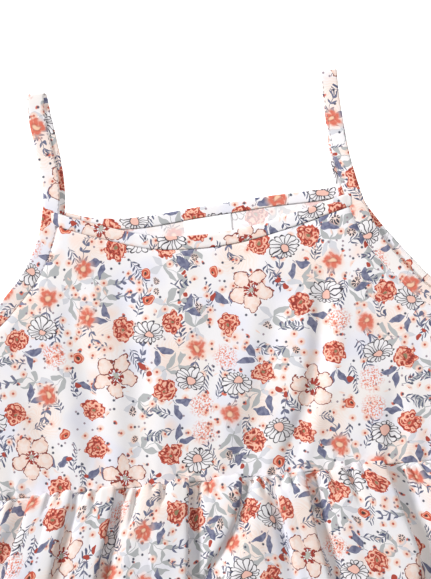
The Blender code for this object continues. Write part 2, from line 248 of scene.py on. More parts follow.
def ripple(u, v, length, seed):
    """Uneven soft waves of about the given length, between -1 and 1."""
    total = 0.0
    for k in range(5):
        turn = seed * 1.7 + k * 2.399
        pace = 2.0 * math.pi / (length * (0.75 + 0.13 * k))
        total = total + np.sin((u * math.cos(turn) + v * math.sin(turn)) * pace + seed * 5.1 + k * 1.3)
    return total / 3.2


def run_along(line):
    """How far along a line each of its points is."""
    return np.concatenate([[0.0], np.cumsum(np.linalg.norm(np.diff(line, axis=0), axis=1))])


def smooth_line(points, step):
    """A smooth line through the points, sampled about every step millimetres."""
    points = np.array(points, float)
    chord = run_along(points)
    tangent = np.gradient(points, chord, axis=0)
    at = np.linspace(0.0, chord[-1], 40 * len(points))
    i = np.clip(np.searchsorted(chord, at, side="right") - 1, 0, len(points) - 2)
    span = (chord[i + 1] - chord[i])[:, None]
    t = (at[:, None] - chord[i][:, None]) / span
    line = (
        (2 * t**3 - 3 * t**2 + 1) * points[i]
        + (t**3 - 2 * t**2 + t) * span * tangent[i]
        + (3 * t**2 - 2 * t**3) * points[i + 1]
        + (t**3 - t**2) * span * tangent[i + 1]
    )
    return evenly_spaced(line, max(2, round(chord[-1] / step)) + 1)


def evenly_spaced(line, count):
    """The same line with count points at equal distances."""
    run = run_along(line)
    at = np.linspace(0.0, run[-1], count)
    return np.column_stack([np.interp(at, run, line[:, k]) for k in range(line.shape[1])])


def sideways(line):
    """The unit direction to the right of travel at each point of a flat line."""
    along = np.gradient(line[:, :2], axis=0)
    along /= np.linalg.norm(along, axis=1)[:, None]
    return np.column_stack([along[:, 1], -along[:, 0]])


def armhole_seam(name, layer, neck_corner):
    """The line that a panel is cut to inside a binding, from the neck down to the underarm."""
    line = smooth_line(STRAP_LINES[name][layer], SEAM_STEP)
    seam = line - INWARD[name] * sideways(line) * (STRAP_WIDTH / 2 - TUCKED)
    return seam[seam[:, 1] < neck_corner]


def top_edge(layer, neck):
    """The upper edge of a bodice panel from underarm to underarm: armhole, neck, armhole."""
    left = armhole_seam("strap_left", layer, neck[0].v)[::-1]
    right = armhole_seam("strap_right", layer, neck[-1].v)
    middle = smooth_line(neck, SEAM_STEP)
    return np.vstack([left[left[:, 0] < neck[0].u - 0.5], middle, right[right[:, 0] > neck[-1].u + 0.5]])


def side_half(v):
    """Half the width of the bodice at a height above the waist."""
    return WAIST_HALF + (CHEST_HALF - WAIST_HALF) * np.clip(v / UNDERARM_SEAM, 0.0, 1.0)


def bodice_grid(edge, columns, rows):
    """Flat grid points of a bodice panel, its columns spread evenly along the upper edge."""
    top = evenly_spaced(edge, columns + 1)
    share = np.linspace(0.0, 1.0, rows + 1)
    v = SEAM_GAP + (top[:, 1][None, :] - SEAM_GAP) * share[:, None]
    u = top[:, 0][None, :] / CHEST_HALF * side_half(v)
    return u, v


def crease_depth(u, v):
    """How far the long creases of the bodice sink the cloth at each point."""
    depth = np.zeros_like(u)
    for crease in BODICE_CREASES:
        ends = (crease.top_u, crease.top_v), (crease.mid_u, crease.mid_v), (crease.foot_u, crease.foot_v)
        line = smooth_line(ends, 4.0)[::-1]
        middle = np.interp(v, line[:, 1], line[:, 0])
        across = (u - middle) / crease.width
        fade = smoothstep(crease.foot_v - 12, crease.foot_v + 12, v)
        fade = fade * (1.0 - smoothstep(crease.top_v - 30, crease.top_v + 6, v))
        beside = 0.4 * (np.exp(-((across - 1.7) ** 2)) + np.exp(-((across + 1.7) ** 2)))
        depth += crease.depth * fade * (np.exp(-(across**2)) - beside)
    return depth


def front_height(u, v):
    """Height of the bodice front's underside above the surface."""
    body = 1.0 - np.abs(u / CHEST_HALF) ** 3
    rise = smoothstep(0.0, 55.0, v) * (1.0 - 0.45 * smoothstep(110.0, 160.0, v))
    puff = BODICE_PUFF * body * (0.25 + 0.75 * rise)
    lift = NECK_LIFT * smoothstep(110.0, 165.0, v)
    return FRONT_FLOOR + lift + above_zero(puff - crease_depth(u, v))


def skirt_half(down):
    """Half the width of the skirt at a distance below the waist."""
    share = (1.0 - np.exp(-down / FLARE_LENGTH)) / (1.0 - math.exp(-SKIRT_LENGTH / FLARE_LENGTH))
    return WAIST_HALF + (HEM_HALF - WAIST_HALF) * share


def skirt_fall(across, down):
    """Where a skirt point is along the dress, which is higher at the sides, where the hem curves up."""
    return -down + HEM_RISE * across**2 * (down / SKIRT_LENGTH) ** 2


def edge_fade(across):
    """1 over the panel, falling to 0 at the side seams where the layers meet."""
    return 1.0 - np.abs(across) ** 10


def back_wave(across, down):
    """Height of the skirt back's underside: slight waves, flat on the surface between them."""
    swell = np.sin(across * 17.0 + 0.6) + 0.5 * np.sin(across * 29.0 + 1.9)
    return BACK_WAVE * edge_fade(across) * smoothstep(0.0, 30.0, down) * np.maximum(swell - 0.35, 0.0)


def pleat_lines(across, down):
    """For each gather, its pleat, the way across from its valley line in waist measure, and its strength."""
    at_waist = across * WAIST_HALF
    wander = 1.6 * ripple(at_waist * 0.6, down * 0.8, 38.0, 2.0) * smoothstep(4.0, 50.0, down)
    for pleat in SKIRT_PLEATS:
        bent = pleat.drift * np.minimum(down / 50.0, 1.3) ** 1.5
        begins = smoothstep(pleat.start - 1.0, pleat.start + 2.4 + 0.4 * pleat.start, down)
        ends = 1.0 - smoothstep(0.35 * pleat.reach, pleat.reach, down)
        yield pleat, at_waist - pleat.at - bent + wander, begins * ends


def pleat_depth(across, down):
    """How far the valleys sink the cloth: most drop steeply on one side and rise slowly on the other."""
    depth = np.zeros_like(across)
    for pleat, off, strength in pleat_lines(across, down):
        spread = 1.0 + down / 300.0
        near = np.exp(-(np.abs(off / (1.35 * pleat.right * spread)) ** 2.6))
        wide = np.exp(-(off / (2.4 * pleat.right * spread)))
        valley = np.where(off < 0.0, np.exp(-((off / (pleat.left * spread)) ** 2)), 0.65 * near + 0.35 * wide)
        depth += FOLD_DEPTH * pleat.depth * valley * strength
    return depth


def skirt_height(across, down):
    """Height of the skirt front's underside above the surface."""
    crown = SKIRT_CROWN + (HEM_CROWN - SKIRT_CROWN) * smoothstep(-10.0, CROWN_FALL, down)
    crown = crown * (0.1 + 0.9 * (1.0 - np.exp(-down / 1.7)))
    at_waist = across * WAIST_HALF
    puffs = 0.8 * np.exp(-down / 12.0) * smoothstep(0.0, 3.0, down) * ripple(at_waist, down * 0.15, 9.0, 4.0)
    crisp = np.exp(-8.0 * np.abs(ripple(at_waist, down * 0.3, 24.0, 11.0)))
    puffs = puffs - 0.7 * np.exp(-down / 60.0) * smoothstep(0.0, 8.0, down) * crisp
    soft = 0.9 * ripple(at_waist * 1.2, down * 0.4, 44.0, 3.0)
    soft = soft + 0.4 * ripple(at_waist * 1.2, down * 0.4, 20.0, 6.0)
    soft = soft + smoothstep(110.0, 300.0, down) * ripple(at_waist, down * 0.2, 52.0, 8.0)
    fold = above_zero((crown - pleat_depth(across, down) + puffs + soft) * edge_fade(across))
    return back_wave(across, down) + CLOTH + LAYER_GAP + fold


def linear(code):
    """A colour written as sRGB hex, as the linear values that a shader takes."""
    parts = [int(code[i : i + 2], 16) / 255.0 for i in (1, 3, 5)]
    return tuple([c / 12.92 if c <= 0.04045 else ((c + 0.055) / 1.055) ** 2.4 for c in parts] + [1.0])


def add(tree, kind, *inputs, out=0, **settings):
    """Adds one shader node: its settings, then its inputs in order, each a value or another node's output."""
    made = tree.nodes.new("ShaderNode" + kind)
    for name, value in settings.items():
        setattr(made, name, value)
    free = [socket for socket in made.inputs if socket.enabled]
    for socket, value in zip(free, inputs):
        if isinstance(value, bpy.types.NodeSocket):
            tree.links.new(value, socket)
        elif value is not None:
            socket.default_value = value
    return [socket for socket in made.outputs if socket.enabled][out]


# The print's repeat, in millimetres: one tile of motifs, turned over at random from tile to tile
TILE = (92.0, 88.0)
COLUMN_DROP = 0.46
Spot = namedtuple("Spot", "x y turn")
BLOSSOMS = [Spot(29, 33, 20)]
DAISIES = [Spot(53, 57, 8), Spot(77, 25, 350)]
CARNATIONS = [Spot(37, 62, 0), Spot(69, 64, 50), Spot(60, 21, 20), Spot(13, 12, 80)]
STARS = [Spot(15, 72, 0), Spot(83, 46, 0)]
BUDS = [Spot(55, 80, 0), Spot(6, 46, 90)]
ASTERISKS = [Spot(61, 84, 0), Spot(87, 72, 20), Spot(38, 9, 0)]
BERRIES = [Spot(47, 37, 0), Spot(51, 33, 0), Spot(5, 30, 0), Spot(79, 81, 0)]
CLUSTERS = [Spot(83, 9, 0)]
FADED = [Spot(68, 42, 10), Spot(22, 56, 0)]
SLATE_LEAVES = [Spot(57, 48, 305), Spot(28, 69, 140), Spot(77, 70, 25), Spot(65, 13, 320), Spot(14, 24, 100)]
GREY_SPRAYS = [
    Spot(41, 14, 350), Spot(62, 33, 20), Spot(4, 84, 320),
    Spot(66, 76, 20), Spot(20, 80, 30), Spot(83, 58, 80),
]
NAVY_SPRIGS = [
    Spot(3, 22, 100), Spot(88, 78, 200), Spot(40, 48, 300), Spot(45, 6, 20),
    Spot(26, 52, 170), Spot(72, 48, 80), Spot(8, 60, 70), Spot(62, 5, 160),
    Spot(90, 34, 250), Spot(20, 44, 330), Spot(46, 71, 60), Spot(72, 88, 10),
]
STEMS = [Spot(15, 68, 285), Spot(83, 42, 250), Spot(47, 40, 80), Spot(34, 84, 350)]

# Two things travel in one vector: a spot's turn in radians, made this much smaller, is the z of the way to it
TURN_STORE = 0.001


def nearest(tree, place, spots):
    """The way from the nearest spot in millimetres, with the spot's turn kept small in z, and its length."""
    best = None
    for spot in spots:
        centre = (spot.x, spot.y, -math.radians(spot.turn) * TURN_STORE)
        offset = add(tree, "VectorMath", place, centre, operation="SUBTRACT")
        length = add(tree, "VectorMath", offset, operation="LENGTH")
        if best is None:
            best, shortest = offset, length
            continue
        closer = add(tree, "Math", length, shortest, operation="LESS_THAN")
        best = add(tree, "Mix", closer, best, offset, data_type="VECTOR", clamp_factor=False)
        shortest = add(tree, "Math", length, shortest, operation="MINIMUM")
    return best, shortest


def around(tree, place, spots):
    """The place as seen from the nearest spot, turned by its angle: x, y, the distance and the direction."""
    offset, r = nearest(tree, place, spots)
    z = add(tree, "SeparateXYZ", offset, out=2)
    angle = add(tree, "Math", z, -1.0 / TURN_STORE, operation="MULTIPLY")
    spun = add(tree, "VectorRotate", offset, (0, 0, 0), angle, rotation_type="Z_AXIS")
    x = add(tree, "SeparateXYZ", spun, out=0)
    y = add(tree, "SeparateXYZ", spun, out=1)
    return x, y, r, add(tree, "Math", y, x, operation="ARCTAN2")


def from_petal(tree, direction, r, petals, reach, squeeze):
    """Distance from the middle of the nearest of several petals, each set out at reach from the heart."""
    span = 2.0 * math.pi / petals
    angle = add(tree, "Math", direction, span, operation="FLOORED_MODULO")
    angle = add(tree, "Math", angle, span / 2.0, operation="SUBTRACT")
    along = add(tree, "Math", angle, operation="COSINE")
    along = add(tree, "Math", along, r, operation="MULTIPLY")
    aside = add(tree, "Math", angle, operation="SINE")
    aside = add(tree, "Math", aside, r, operation="MULTIPLY")
    aside = add(tree, "Math", aside, squeeze, operation="MULTIPLY")
    spot = add(tree, "CombineXYZ", along, aside, 0.0)
    return add(tree, "VectorMath", spot, (reach, 0.0, 0.0), operation="DISTANCE")


def petal_wave(tree, direction, petals):
    """0 between petals to 1 along their middles."""
    wave = add(tree, "Math", direction, petals / 2.0, operation="MULTIPLY")
    wave = add(tree, "Math", wave, operation="COSINE")
    return add(tree, "Math", wave, operation="ABSOLUTE")


def faded_flower(tree, ground, place):
    """A large out-of-focus chrysanthemum in the ground, little more than peach strokes round a point."""
    _, _, r, direction = around(tree, place, FADED)
    curl = add(tree, "Math", r, 0.12, direction, operation="MULTIPLY_ADD")
    strokes = petal_wave(tree, curl, 22)
    strokes = add(tree, "MapRange", strokes, 0.3, 0.95, 0.2, 0.75)
    near = add(tree, "MapRange", r, 17.0, 6.0, 0.0, 1.0)
    ground = add(tree, "Mix", near, ground, linear("#F8EEE9"), data_type="RGBA")
    strokes = add(tree, "Math", strokes, near, operation="MULTIPLY")
    return add(tree, "Mix", strokes, ground, linear("#F4DCCF"), data_type="RGBA")


def blossom(tree, ground, place, rough):
    """A large pale flower of five round petals in a broken dark red pen line, round a tuft of stamens."""
    _, _, r, direction = around(tree, place, BLOSSOMS)
    out = from_petal(tree, direction, r, 5, 8.6, 1.16)
    out = add(tree, "Math", rough, -2.2, out, operation="MULTIPLY_ADD")
    inside = add(tree, "Math", out, 4.4, operation="LESS_THAN")
    blush = add(tree, "MapRange", out, 3.4, 0.4, 0.0, 1.0)
    mottle = add(tree, "MapRange", rough, 0.42, 0.62, 0.0, 0.6)
    blush = add(tree, "Math", blush, 0.75, mottle, operation="MULTIPLY_ADD")
    blush = add(tree, "Math", 1.0, blush, operation="SUBTRACT")
    petal = add(tree, "Mix", blush, linear("#F5E6DF"), linear("#F3D3C4"), data_type="RGBA")
    ground = add(tree, "Mix", inside, ground, petal, data_type="RGBA")
    pen = add(tree, "Math", out, 4.4, 0.34, operation="COMPARE")
    whole = add(tree, "Math", rough, 0.37, operation="GREATER_THAN")
    pen = add(tree, "Math", pen, whole, operation="MULTIPLY")
    ground = add(tree, "Mix", pen, ground, linear("#8A463F"), data_type="RGBA")
    spokes = add(tree, "Math", direction, 9.0, operation="MULTIPLY")
    spokes = add(tree, "Math", spokes, operation="SINE")
    spokes = add(tree, "Math", rough, 5.0, spokes, operation="MULTIPLY_ADD")
    spokes = add(tree, "Math", spokes, 2.4, operation="GREATER_THAN")
    ring = add(tree, "Math", r, 3.2, 2.0, operation="COMPARE")
    tuft = add(tree, "Math", spokes, ring, operation="MULTIPLY")
    ground = add(tree, "Mix", tuft, ground, linear("#A03F37"), data_type="RGBA")
    heart = add(tree, "MapRange", r, 2.4, 1.4, 0.0, 0.8)
    return add(tree, "Mix", heart, ground, linear("#A5AA9A"), data_type="RGBA")


def carnation(tree, ground, place, rough):
    """A frilled coral flower: curled petals with light edges and dark folds."""
    _, _, r, direction = around(tree, place, CARNATIONS)
    out = from_petal(tree, direction, r, 7, 4.4, 0.9)
    edge = add(tree, "Math", rough, -3.2, out, operation="MULTIPLY_ADD")
    inside = add(tree, "Math", edge, 1.2, operation="LESS_THAN")
    core = add(tree, "Math", r, 4.2, operation="LESS_THAN")
    inside = add(tree, "Math", inside, core, operation="MAXIMUM")
    frill = add(tree, "Math", rough, 10.0, direction, operation="MULTIPLY_ADD")
    frill = add(tree, "Math", out, 2.3, frill, operation="MULTIPLY_ADD")
    frill = add(tree, "Math", frill, operation="SINE")
    light = add(tree, "MapRange", frill, 0.05, 0.7, 0.0, 1.0)
    dark = add(tree, "MapRange", frill, -0.5, -0.85, 0.0, 0.95)
    deep = add(tree, "MapRange", r, 4.0, 0.5, 0.0, 0.6)
    petal = add(tree, "Mix", light, linear("#D76755"), linear("#F6C2AA"), data_type="RGBA")
    petal = add(tree, "Mix", deep, petal, linear("#B84E40"), data_type="RGBA")
    petal = add(tree, "Mix", dark, petal, linear("#8C3832"), data_type="RGBA")
    ground = add(tree, "Mix", inside, ground, petal, data_type="RGBA")
    rim = add(tree, "Math", edge, 1.15, 0.24, operation="COMPARE")
    ground = add(tree, "Mix", rim, ground, linear("#C45A49"), data_type="RGBA")
    heart = add(tree, "Math", r, 1.0, operation="LESS_THAN")
    return add(tree, "Mix", heart, ground, linear("#8F8163"), data_type="RGBA")


def daisy(tree, ground, place):
    """A pen-drawn daisy seen from one side: narrow petals, long behind the eye and short before it."""
    x, y, _, _ = around(tree, place, DAISIES)
    flat_y = add(tree, "Math", y, 1.25, operation="MULTIPLY")
    direction = add(tree, "Math", flat_y, x, operation="ARCTAN2")
    r = add(tree, "CombineXYZ", x, flat_y, 0.0)
    r = add(tree, "VectorMath", r, operation="LENGTH")
    wave = petal_wave(tree, direction, 16)
    bulge = add(tree, "Math", wave, 0.6, operation="POWER")
    edge = add(tree, "Math", bulge, 1.9, 7.4, operation="MULTIPLY_ADD")
    side = add(tree, "Math", direction, operation="SINE")
    edge = add(tree, "Math", side, 2.2, edge, operation="MULTIPLY_ADD")
    inside = add(tree, "Math", r, edge, operation="LESS_THAN")
    shade = add(tree, "MapRange", r, 3.0, 7.5, 0.0, 1.0)
    petal = add(tree, "Mix", shade, linear("#D9D5D8"), linear("#F1EEF0"), data_type="RGBA")
    ground = add(tree, "Mix", inside, ground, petal, data_type="RGBA")
    rim = add(tree, "Math", r, edge, 0.42, operation="COMPARE")
    between = add(tree, "Math", wave, r, operation="MULTIPLY")
    between = add(tree, "Math", between, 2.4, operation="LESS_THAN")
    between = add(tree, "Math", between, inside, operation="MULTIPLY")
    pen = add(tree, "Math", rim, between, operation="MAXIMUM")
    eye = add(tree, "Math", r, 3.4, operation="LESS_THAN")
    pen = add(tree, "Math", pen, eye, operation="MAXIMUM")
    ground = add(tree, "Mix", pen, ground, linear("#484249"), data_type="RGBA")
    eye = add(tree, "Math", r, 2.8, operation="LESS_THAN")
    return add(tree, "Mix", eye, ground, linear("#EFBFB1"), data_type="RGBA")


def star(tree, ground, place, rough):
    """A watercolour flower, orange running out into a peach halo."""
    _, _, r, direction = around(tree, place, STARS)
    halo = add(tree, "MapRange", r, 8.5, 3.0, 0.0, 0.85)
    ground = add(tree, "Mix", halo, ground, linear("#FAC6AD"), data_type="RGBA")
    out = from_petal(tree, direction, r, 7, 3.4, 1.0)
    out = add(tree, "Math", rough, -3.0, out, operation="MULTIPLY_ADD")
    petal = add(tree, "MapRange", out, 1.3, -0.4, 0.0, 0.92)
    ground = add(tree, "Mix", petal, ground, linear("#D96B56"), data_type="RGBA")
    ring = add(tree, "MapRange", r, 3.0, 1.8, 0.0, 0.6)
    ground = add(tree, "Mix", ring, ground, linear("#A94C3E"), data_type="RGBA")
    heart = add(tree, "MapRange", r, 1.9, 1.0, 0.0, 0.9)
    return add(tree, "Mix", heart, ground, linear("#F6CFAF"), data_type="RGBA")


def bud(tree, ground, place):
    """A small rolled red bud with a dark heart."""
    _, _, r, direction = around(tree, place, BUDS)
    edge = add(tree, "Math", direction, operation="SINE")
    edge = add(tree, "Math", edge, 0.5, r, operation="MULTIPLY_ADD")
    whole = add(tree, "Math", edge, 3.3, operation="LESS_THAN")
    ground = add(tree, "Mix", whole, ground, linear("#CB5946"), data_type="RGBA")
    curl = add(tree, "Math", r, 3.2, direction, operation="MULTIPLY_ADD")
    curl = add(tree, "Math", curl, operation="SINE")
    curl = add(tree, "MapRange", curl, 0.2, 0.8, 0.0, 1.0)
    close = add(tree, "Math", edge, 2.8, operation="LESS_THAN")
    curl = add(tree, "Math", curl, close, operation="MULTIPLY")
    ground = add(tree, "Mix", curl, ground, linear("#F4B094"), data_type="RGBA")
    heart = add(tree, "Math", r, 0.9, operation="LESS_THAN")
    return add(tree, "Mix", heart, ground, linear("#54403A"), data_type="RGBA")


def asterisk(tree, ground, place):
    """A tiny near-black flower of eight strokes on a peach speck."""
    _, _, r, direction = around(tree, place, ASTERISKS)
    halo = add(tree, "MapRange", r, 3.2, 2.0, 0.0, 0.6)
    ground = add(tree, "Mix", halo, ground, linear("#F9D2BF"), data_type="RGBA")
    strokes = petal_wave(tree, direction, 8)
    strokes = add(tree, "Math", strokes, 0.55, operation="GREATER_THAN")
    ring = add(tree, "Math", r, 1.55, 0.8, operation="COMPARE")
    strokes = add(tree, "Math", strokes, ring, operation="MULTIPLY")
    return add(tree, "Mix", strokes, ground, linear("#43444E"), data_type="RGBA")


Leaf = namedtuple("Leaf", "spacing count length width lean bend stem")


def leaves(tree, ground, x, y, leaf, colour):
    """Pairs of pointed leaves along a fine stem through the spot that x and y are seen from."""
    c, s = math.cos(math.radians(leaf.lean)), math.sin(math.radians(leaf.lean))
    y = add(tree, "Math", y, operation="ABSOLUTE")
    root = add(tree, "Math", y, -c / s, x, operation="MULTIPLY_ADD")
    number = add(tree, "Math", root, 1.0 / leaf.spacing, operation="MULTIPLY")
    number = add(tree, "Math", number, operation="ROUND")
    last = (leaf.count - 1) / 2.0
    grows = add(tree, "Math", number, last, last + 0.5, operation="COMPARE")
    step = add(tree, "Math", number, -leaf.spacing, x, operation="MULTIPLY_ADD")
    spot = add(tree, "CombineXYZ", step, y, 0.0)
    along = add(tree, "VectorMath", spot, (c, s, 0.0), operation="DOT_PRODUCT")
    off = add(tree, "VectorMath", spot, (-s, c, 0.0), operation="DOT_PRODUCT")
    t = add(tree, "Math", along, 2.0 / leaf.length, -1.1, operation="MULTIPLY_ADD")
    t = add(tree, "Math", t, t, operation="MULTIPLY")
    off = add(tree, "Math", t, leaf.bend, off, operation="MULTIPLY_ADD")
    off = add(tree, "Math", off, operation="ABSOLUTE")
    belly = add(tree, "Math", t, -leaf.width, leaf.width, operation="MULTIPLY_ADD")
    blade = add(tree, "Math", off, belly, operation="LESS_THAN")
    blade = add(tree, "Math", blade, grows, operation="MULTIPLY")
    stem = add(tree, "Math", y, leaf.stem, operation="LESS_THAN")
    half = leaf.spacing * (leaf.count - 1) / 2.0 + 1.5
    within = add(tree, "Math", x, half - 1.5, half, operation="COMPARE")
    stem = add(tree, "Math", stem, within, operation="MULTIPLY")
    blade = add(tree, "Math", blade, stem, operation="MAXIMUM")
    return add(tree, "Mix", blade, ground, colour, data_type="RGBA")


Scatter = namedtuple("Scatter", "cell some radius soft")


def scattered(tree, ground, place, scatter, colour, heart=None, crowd=1.0):
    """Small soft discs, one in some of the cells of a loose scatter, each with a heart if one is given."""
    pace = 1.0 / scatter.cell
    to_cells = add(tree, "VectorMath", place, (pace, pace, 0.0), operation="MULTIPLY")
    settings = {"voronoi_dimensions": "2D", "feature": "F1"}
    near = add(tree, "TexVoronoi", to_cells, 1.0, 0.0, 0.5, 2.0, 0.85, **settings)
    chance = add(tree, "TexVoronoi", to_cells, 1.0, 0.0, 0.5, 2.0, 0.85, out=1, **settings)
    chosen = add(tree, "SeparateColor", chance, out=0)
    some = add(tree, "Math", crowd, scatter.some, operation="MULTIPLY")
    chosen = add(tree, "Math", chosen, some, operation="LESS_THAN")
    outer = (scatter.radius + scatter.soft) / scatter.cell
    inner = (scatter.radius - scatter.soft) / scatter.cell
    disc = add(tree, "MapRange", near, outer, inner, 0.0, 1.0)
    disc = add(tree, "Math", disc, chosen, operation="MULTIPLY")
    ground = add(tree, "Mix", disc, ground, colour, data_type="RGBA")
    if heart:
        core = add(tree, "MapRange", near, 1.05 / scatter.cell, 0.6 / scatter.cell, 0.0, 1.0)
        core = add(tree, "Math", core, chosen, operation="MULTIPLY")
        ground = add(tree, "Mix", core, ground, heart, data_type="RGBA")
    return ground


def tile_place(tree, flat):
    """The place in one tile. Each column is dropped by about half a tile, and tiles turn over at random."""
    x = add(tree, "SeparateXYZ", flat, out=0)
    y = add(tree, "SeparateXYZ", flat, out=1)
    column = add(tree, "Math", x, 1.0 / TILE[0], operation="MULTIPLY")
    column = add(tree, "Math", column, operation="FLOOR")
    y = add(tree, "Math", column, TILE[1] * COLUMN_DROP, y, operation="MULTIPLY_ADD")
    row = add(tree, "Math", y, 1.0 / TILE[1], operation="MULTIPLY")
    row = add(tree, "Math", row, operation="FLOOR")
    cell = add(tree, "CombineXYZ", column, row, 0.0)
    chance = add(tree, "TexWhiteNoise", cell, noise_dimensions="2D", out=1)
    place = []
    for k, at in enumerate((x, y)):
        at = add(tree, "Math", at, TILE[k], operation="FLOORED_MODULO")
        flip = add(tree, "SeparateColor", chance, out=k)
        flip = add(tree, "Math", flip, 0.5, operation="GREATER_THAN")
        other = add(tree, "Math", TILE[k], at, operation="SUBTRACT")
        place.append(add(tree, "Mix", flip, at, other, data_type="FLOAT"))
    return add(tree, "CombineXYZ", *place, 0.0)


def flower_print():
    """The cloth's print as one node group, from the flat cloth place in metres to the colour there."""
    tree = bpy.data.node_groups.new("small_flower_print", "ShaderNodeTree")
    tree.interface.new_socket("Place", in_out="INPUT", socket_type="NodeSocketVector")
    tree.interface.new_socket("Colour", in_out="OUTPUT", socket_type="NodeSocketColor")
    given = tree.nodes.new("NodeGroupInput").outputs[0]
    whole = add(tree, "VectorMath", given, (1000.0, 1000.0, 0.0), operation="MULTIPLY")
    wobble = add(tree, "TexNoise", whole, 0.13, 1.0, 0.5, noise_dimensions="2D", out=1)
    wobble = add(tree, "VectorMath", wobble, (0.5, 0.5, 0.5), operation="SUBTRACT")
    flat = add(tree, "VectorMath", wobble, (5.0, 5.0, 0.0), whole, operation="MULTIPLY_ADD")
    rough = add(tree, "TexNoise", whole, 0.34, 2.0, 0.5, noise_dimensions="2D", out=0)
    place = tile_place(tree, flat)

    wash = add(tree, "TexNoise", whole, 0.032, 1.0, 0.5, noise_dimensions="2D", out=0)
    peach = add(tree, "MapRange", wash, 0.55, 0.72, 0.0, 1.0)
    lilac = add(tree, "MapRange", wash, 0.46, 0.3, 0.0, 1.0)
    ground = add(tree, "Mix", peach, linear("#F3F0F2"), linear("#F4EEEB"), data_type="RGBA")
    ground = add(tree, "Mix", lilac, ground, linear("#EAE9F2"), data_type="RGBA")
    ground = faded_flower(tree, ground, place)
    ground = scattered(tree, ground, flat, Scatter(16.0, 0.3, 3.4, 2.8), linear("#F8E3DA"))

    x, y, _, _ = around(tree, place, GREY_SPRAYS)
    back = add(tree, "Math", 2.0, x, operation="SUBTRACT")
    ground = leaves(tree, ground, back, y, Leaf(20.0, 1, 11.0, 1.9, 30.0, 0.9, 0.15), linear("#D6D6DC"))
    ground = leaves(tree, ground, x, y, Leaf(8.0, 2, 12.5, 1.75, 38.0, 0.8, 0.22), linear("#B5B7B8"))
    x, y, _, _ = around(tree, place, NAVY_SPRIGS)
    ground = leaves(tree, ground, x, y, Leaf(2.7, 7, 4.6, 0.5, 44.0, 0.1, 0.18), linear("#5C607A"))
    crowd = add(tree, "TexNoise", whole, 0.06, 0.0, 0.5, noise_dimensions="2D", out=0)
    crowd = add(tree, "MapRange", crowd, 0.47, 0.58, 0.15, 1.0)
    garland = linear("#F6D5C7"), linear("#BE5E4C")
    ground = scattered(tree, ground, whole, Scatter(7.2, 0.65, 2.3, 0.7), *garland, crowd=crowd)
    ground = scattered(tree, ground, whole, Scatter(4.3, 0.3, 0.7, 0.2), linear("#9C8C96"), crowd=crowd)
    ground = scattered(tree, ground, flat, Scatter(6.0, 0.09, 1.1, 0.3), linear("#D9705C"))
    ground = scattered(tree, ground, whole, Scatter(6.0, 0.2, 0.8, 0.25), linear("#4E505F"))

    _, r = nearest(tree, place, CLUSTERS)
    scribble = add(tree, "TexNoise", whole, 0.8, 2.0, 0.6, noise_dimensions="2D", out=0)
    scribble = add(tree, "MapRange", scribble, 0.5, 0.56, 0.0, 1.0)
    near = add(tree, "MapRange", r, 9.0, 5.0, 0.0, 1.0)
    near = add(tree, "Math", near, scribble, operation="MULTIPLY")
    ground = add(tree, "Mix", near, ground, linear("#E58B78"), data_type="RGBA")
    x, y, _, _ = around(tree, place, SLATE_LEAVES)
    slate = add(tree, "MapRange", rough, 0.4, 0.6, 0.0, 1.0)
    slate = add(tree, "Mix", slate, linear("#686B87"), linear("#84869E"), data_type="RGBA")
    ground = leaves(tree, ground, x, y, Leaf(20.0, 1, 11.5, 2.3, 34.0, -0.8, 0.2), slate)
    x, y, _, _ = around(tree, place, STEMS)
    ground = leaves(tree, ground, x, y, Leaf(5.0, 3, 4.5, 0.8, 36.0, 0.0, 0.22), linear("#6F728A"))
    _, r = nearest(tree, place, BERRIES)
    berry = add(tree, "Math", r, 1.7, operation="LESS_THAN")
    ground = add(tree, "Mix", berry, ground, linear("#B14C40"), data_type="RGBA")
    ground = star(tree, ground, place, rough)
    ground = asterisk(tree, ground, place)
    ground = bud(tree, ground, place)
    ground = blossom(tree, ground, place, rough)
    ground = daisy(tree, ground, place)
    ground = carnation(tree, ground, place, rough)
    tree.links.new(ground, tree.nodes.new("NodeGroupOutput").inputs[0])
    return tree


def surface(name, looks):
    """A new material with its plain looks set, its node tree and its shader."""
    made = bpy.data.materials.new(name)
    made.use_nodes = True
    shader = made.node_tree.nodes["Principled BSDF"]
    for socket, value in looks.items():
        shader.inputs[socket].default_value = value
    return made, made.node_tree, shader


def printed_cotton(name, print_group, paler, roughness):
    """Fine plain-woven cotton with a printed face: matt, soft at grazing angles, the weave just felt."""
    looks = {"Roughness": roughness, "Sheen Weight": 0.12, "Sheen Roughness": 0.5, "Specular IOR Level": 0.2}
    made, tree, shader = surface(name, looks)
    place = add(tree, "UVMap", uv_map="Cloth")
    shown = add(tree, "Group", place, node_tree=print_group)
    colour = add(tree, "Mix", paler, shown, linear("#FAF7F8"), data_type="RGBA")
    tree.links.new(colour, shader.inputs["Base Color"])
    # The real threads, about 0.3 mm apart, are too fine to show, so they are drawn 0.8 mm apart.
    weave = add(tree, "TexNoise", place, 1250.0, 1.0, 0.5, noise_dimensions="2D", out=0)
    bump = add(tree, "Bump", 0.12, 0.0003, None, weave)
    tree.links.new(bump, shader.inputs["Normal"])
    return made


def satin_ribbon():
    """White satin: smooth and faintly glossy along its float threads."""
    made, tree, shader = surface("satin_ribbon", {"Base Color": linear("#FBFBFD"), "Roughness": 0.38})
    place = add(tree, "UVMap", uv_map="Cloth")
    stretched = add(tree, "VectorMath", place, (300.0, 2500.0, 0.0), operation="MULTIPLY")
    floats = add(tree, "TexNoise", stretched, 1.0, 1.0, 0.5, noise_dimensions="2D", out=0)
    bump = add(tree, "Bump", 0.15, 0.0002, None, floats)
    tree.links.new(bump, shader.inputs["Normal"])
    return made


